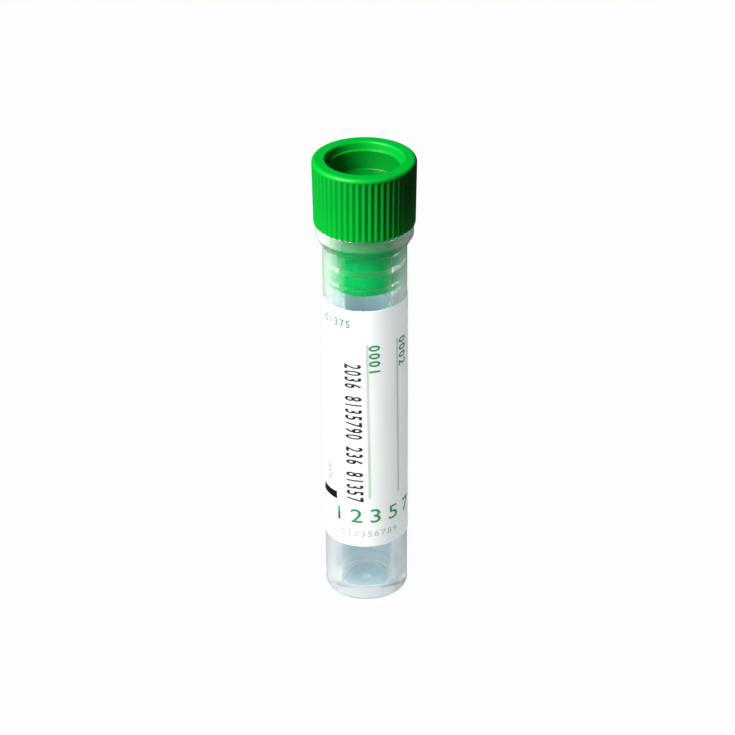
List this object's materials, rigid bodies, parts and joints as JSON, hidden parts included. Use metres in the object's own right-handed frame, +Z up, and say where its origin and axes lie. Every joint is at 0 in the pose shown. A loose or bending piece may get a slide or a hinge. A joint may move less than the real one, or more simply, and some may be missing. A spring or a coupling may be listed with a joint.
{
  "type": "blood collection tube",
  "caption": "Flat-bottomed clear plastic blood collection tube with a collar, a ribbed push-in stopper and a wrap-round label.",
  "frame": {"origin": "centre of the standing ring under the base, on the tube's axis", "axes": "+Z up along the tube's axis towards the stopper; -Y towards the face of the label"},
  "size_m": [0.016, 0.016, 0.075],
  "materials": {
    "clear_plastic": "natural polypropylene, clear with a slight blue-grey haze, smooth",
    "green_plastic": "soft polyethylene, bright green, satin gloss",
    "label_paper": "white self-adhesive label, smooth, with green and black print"
  },
  "bodies": {
    "tube": {"tube": "clear_plastic", "label": "label_paper"},
    "stopper": {"stopper": "green_plastic"}
  },
  "joints": [
    {"name": "stopper_pull", "type": "slide", "parent": "tube", "child": "stopper", "axis": [0, 0, 1], "range_m": [0, 0.02]}
  ]
}
